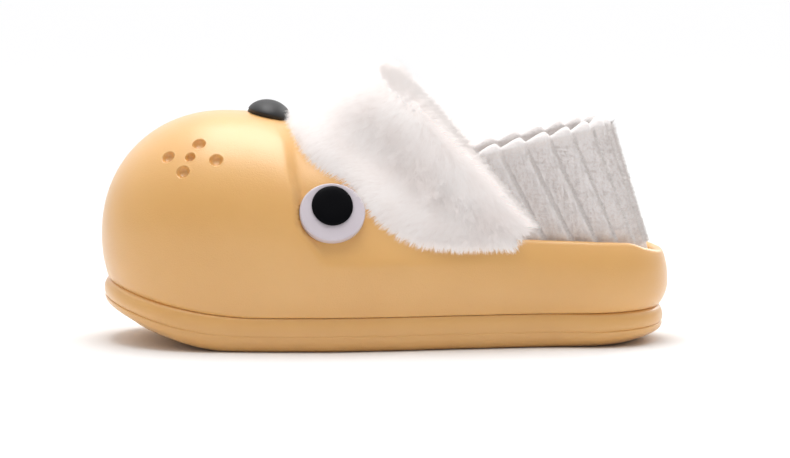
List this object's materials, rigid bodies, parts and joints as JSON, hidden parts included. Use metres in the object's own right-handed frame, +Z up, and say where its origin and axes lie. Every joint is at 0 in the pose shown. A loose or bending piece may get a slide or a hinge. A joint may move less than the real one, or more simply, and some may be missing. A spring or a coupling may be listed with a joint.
{
  "type": "animal slipper",
  "caption": "Closed-toe foam clog slipper shaped as an animal's head, with round eyes, a domed nose, a turned-down fur cuff, a ribbed plush heel collar and a plush footbed.",
  "frame": {"origin": "middle of the bounding box's base, on the floor under the shoe", "axes": "+X towards the heel, -X towards the toe, -Y towards the outer side of the foot, +Z up"},
  "size_m": [0.2749, 0.1166, 0.1395],
  "materials": {
    "foam": "matte",
    "plush": "deep pile",
    "fur": "long pile",
    "eye_white": "satin",
    "black": "gloss"
  },
  "bodies": {
    "root": {"upper": "foam", "sole": "foam", "insole": "plush", "heel_collar": "plush", "fur_cuff": "fur", "nose": "black", "eye_white_outer": "eye_white", "eye_white_inner": "eye_white", "pupil_outer": "black", "pupil_inner": "black"}
  },
  "joints": []
}
